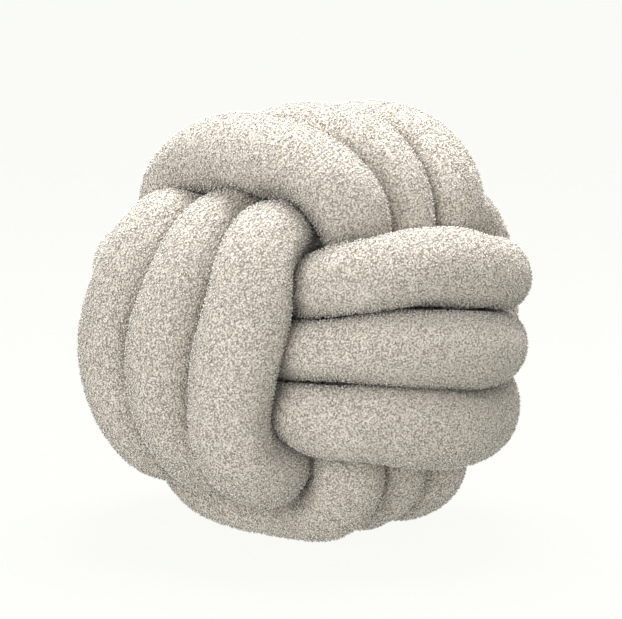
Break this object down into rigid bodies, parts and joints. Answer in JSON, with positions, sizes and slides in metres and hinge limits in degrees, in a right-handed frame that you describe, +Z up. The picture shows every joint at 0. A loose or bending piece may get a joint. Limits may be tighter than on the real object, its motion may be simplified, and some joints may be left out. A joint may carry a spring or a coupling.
{
  "type": "knot cushion",
  "caption": "Ball-shaped cushion wound from one long stuffed tube of cream boucle fabric into a monkey's-fist knot.",
  "frame": {"origin": "middle of the base, on the surface that the ball stands on, under the middle of its outer box", "axes": "+Z up, through the top face whose strands run along X; +X out of the side face whose strands run level; -Y out of the side face whose strands run up and down"},
  "size_m": [0.3108, 0.3038, 0.2902],
  "materials": {
    "boucle": "matt cream boucle, a pile of small soft curls"
  },
  "bodies": {
    "root": {"knotted_tube": "boucle"}
  },
  "joints": []
}
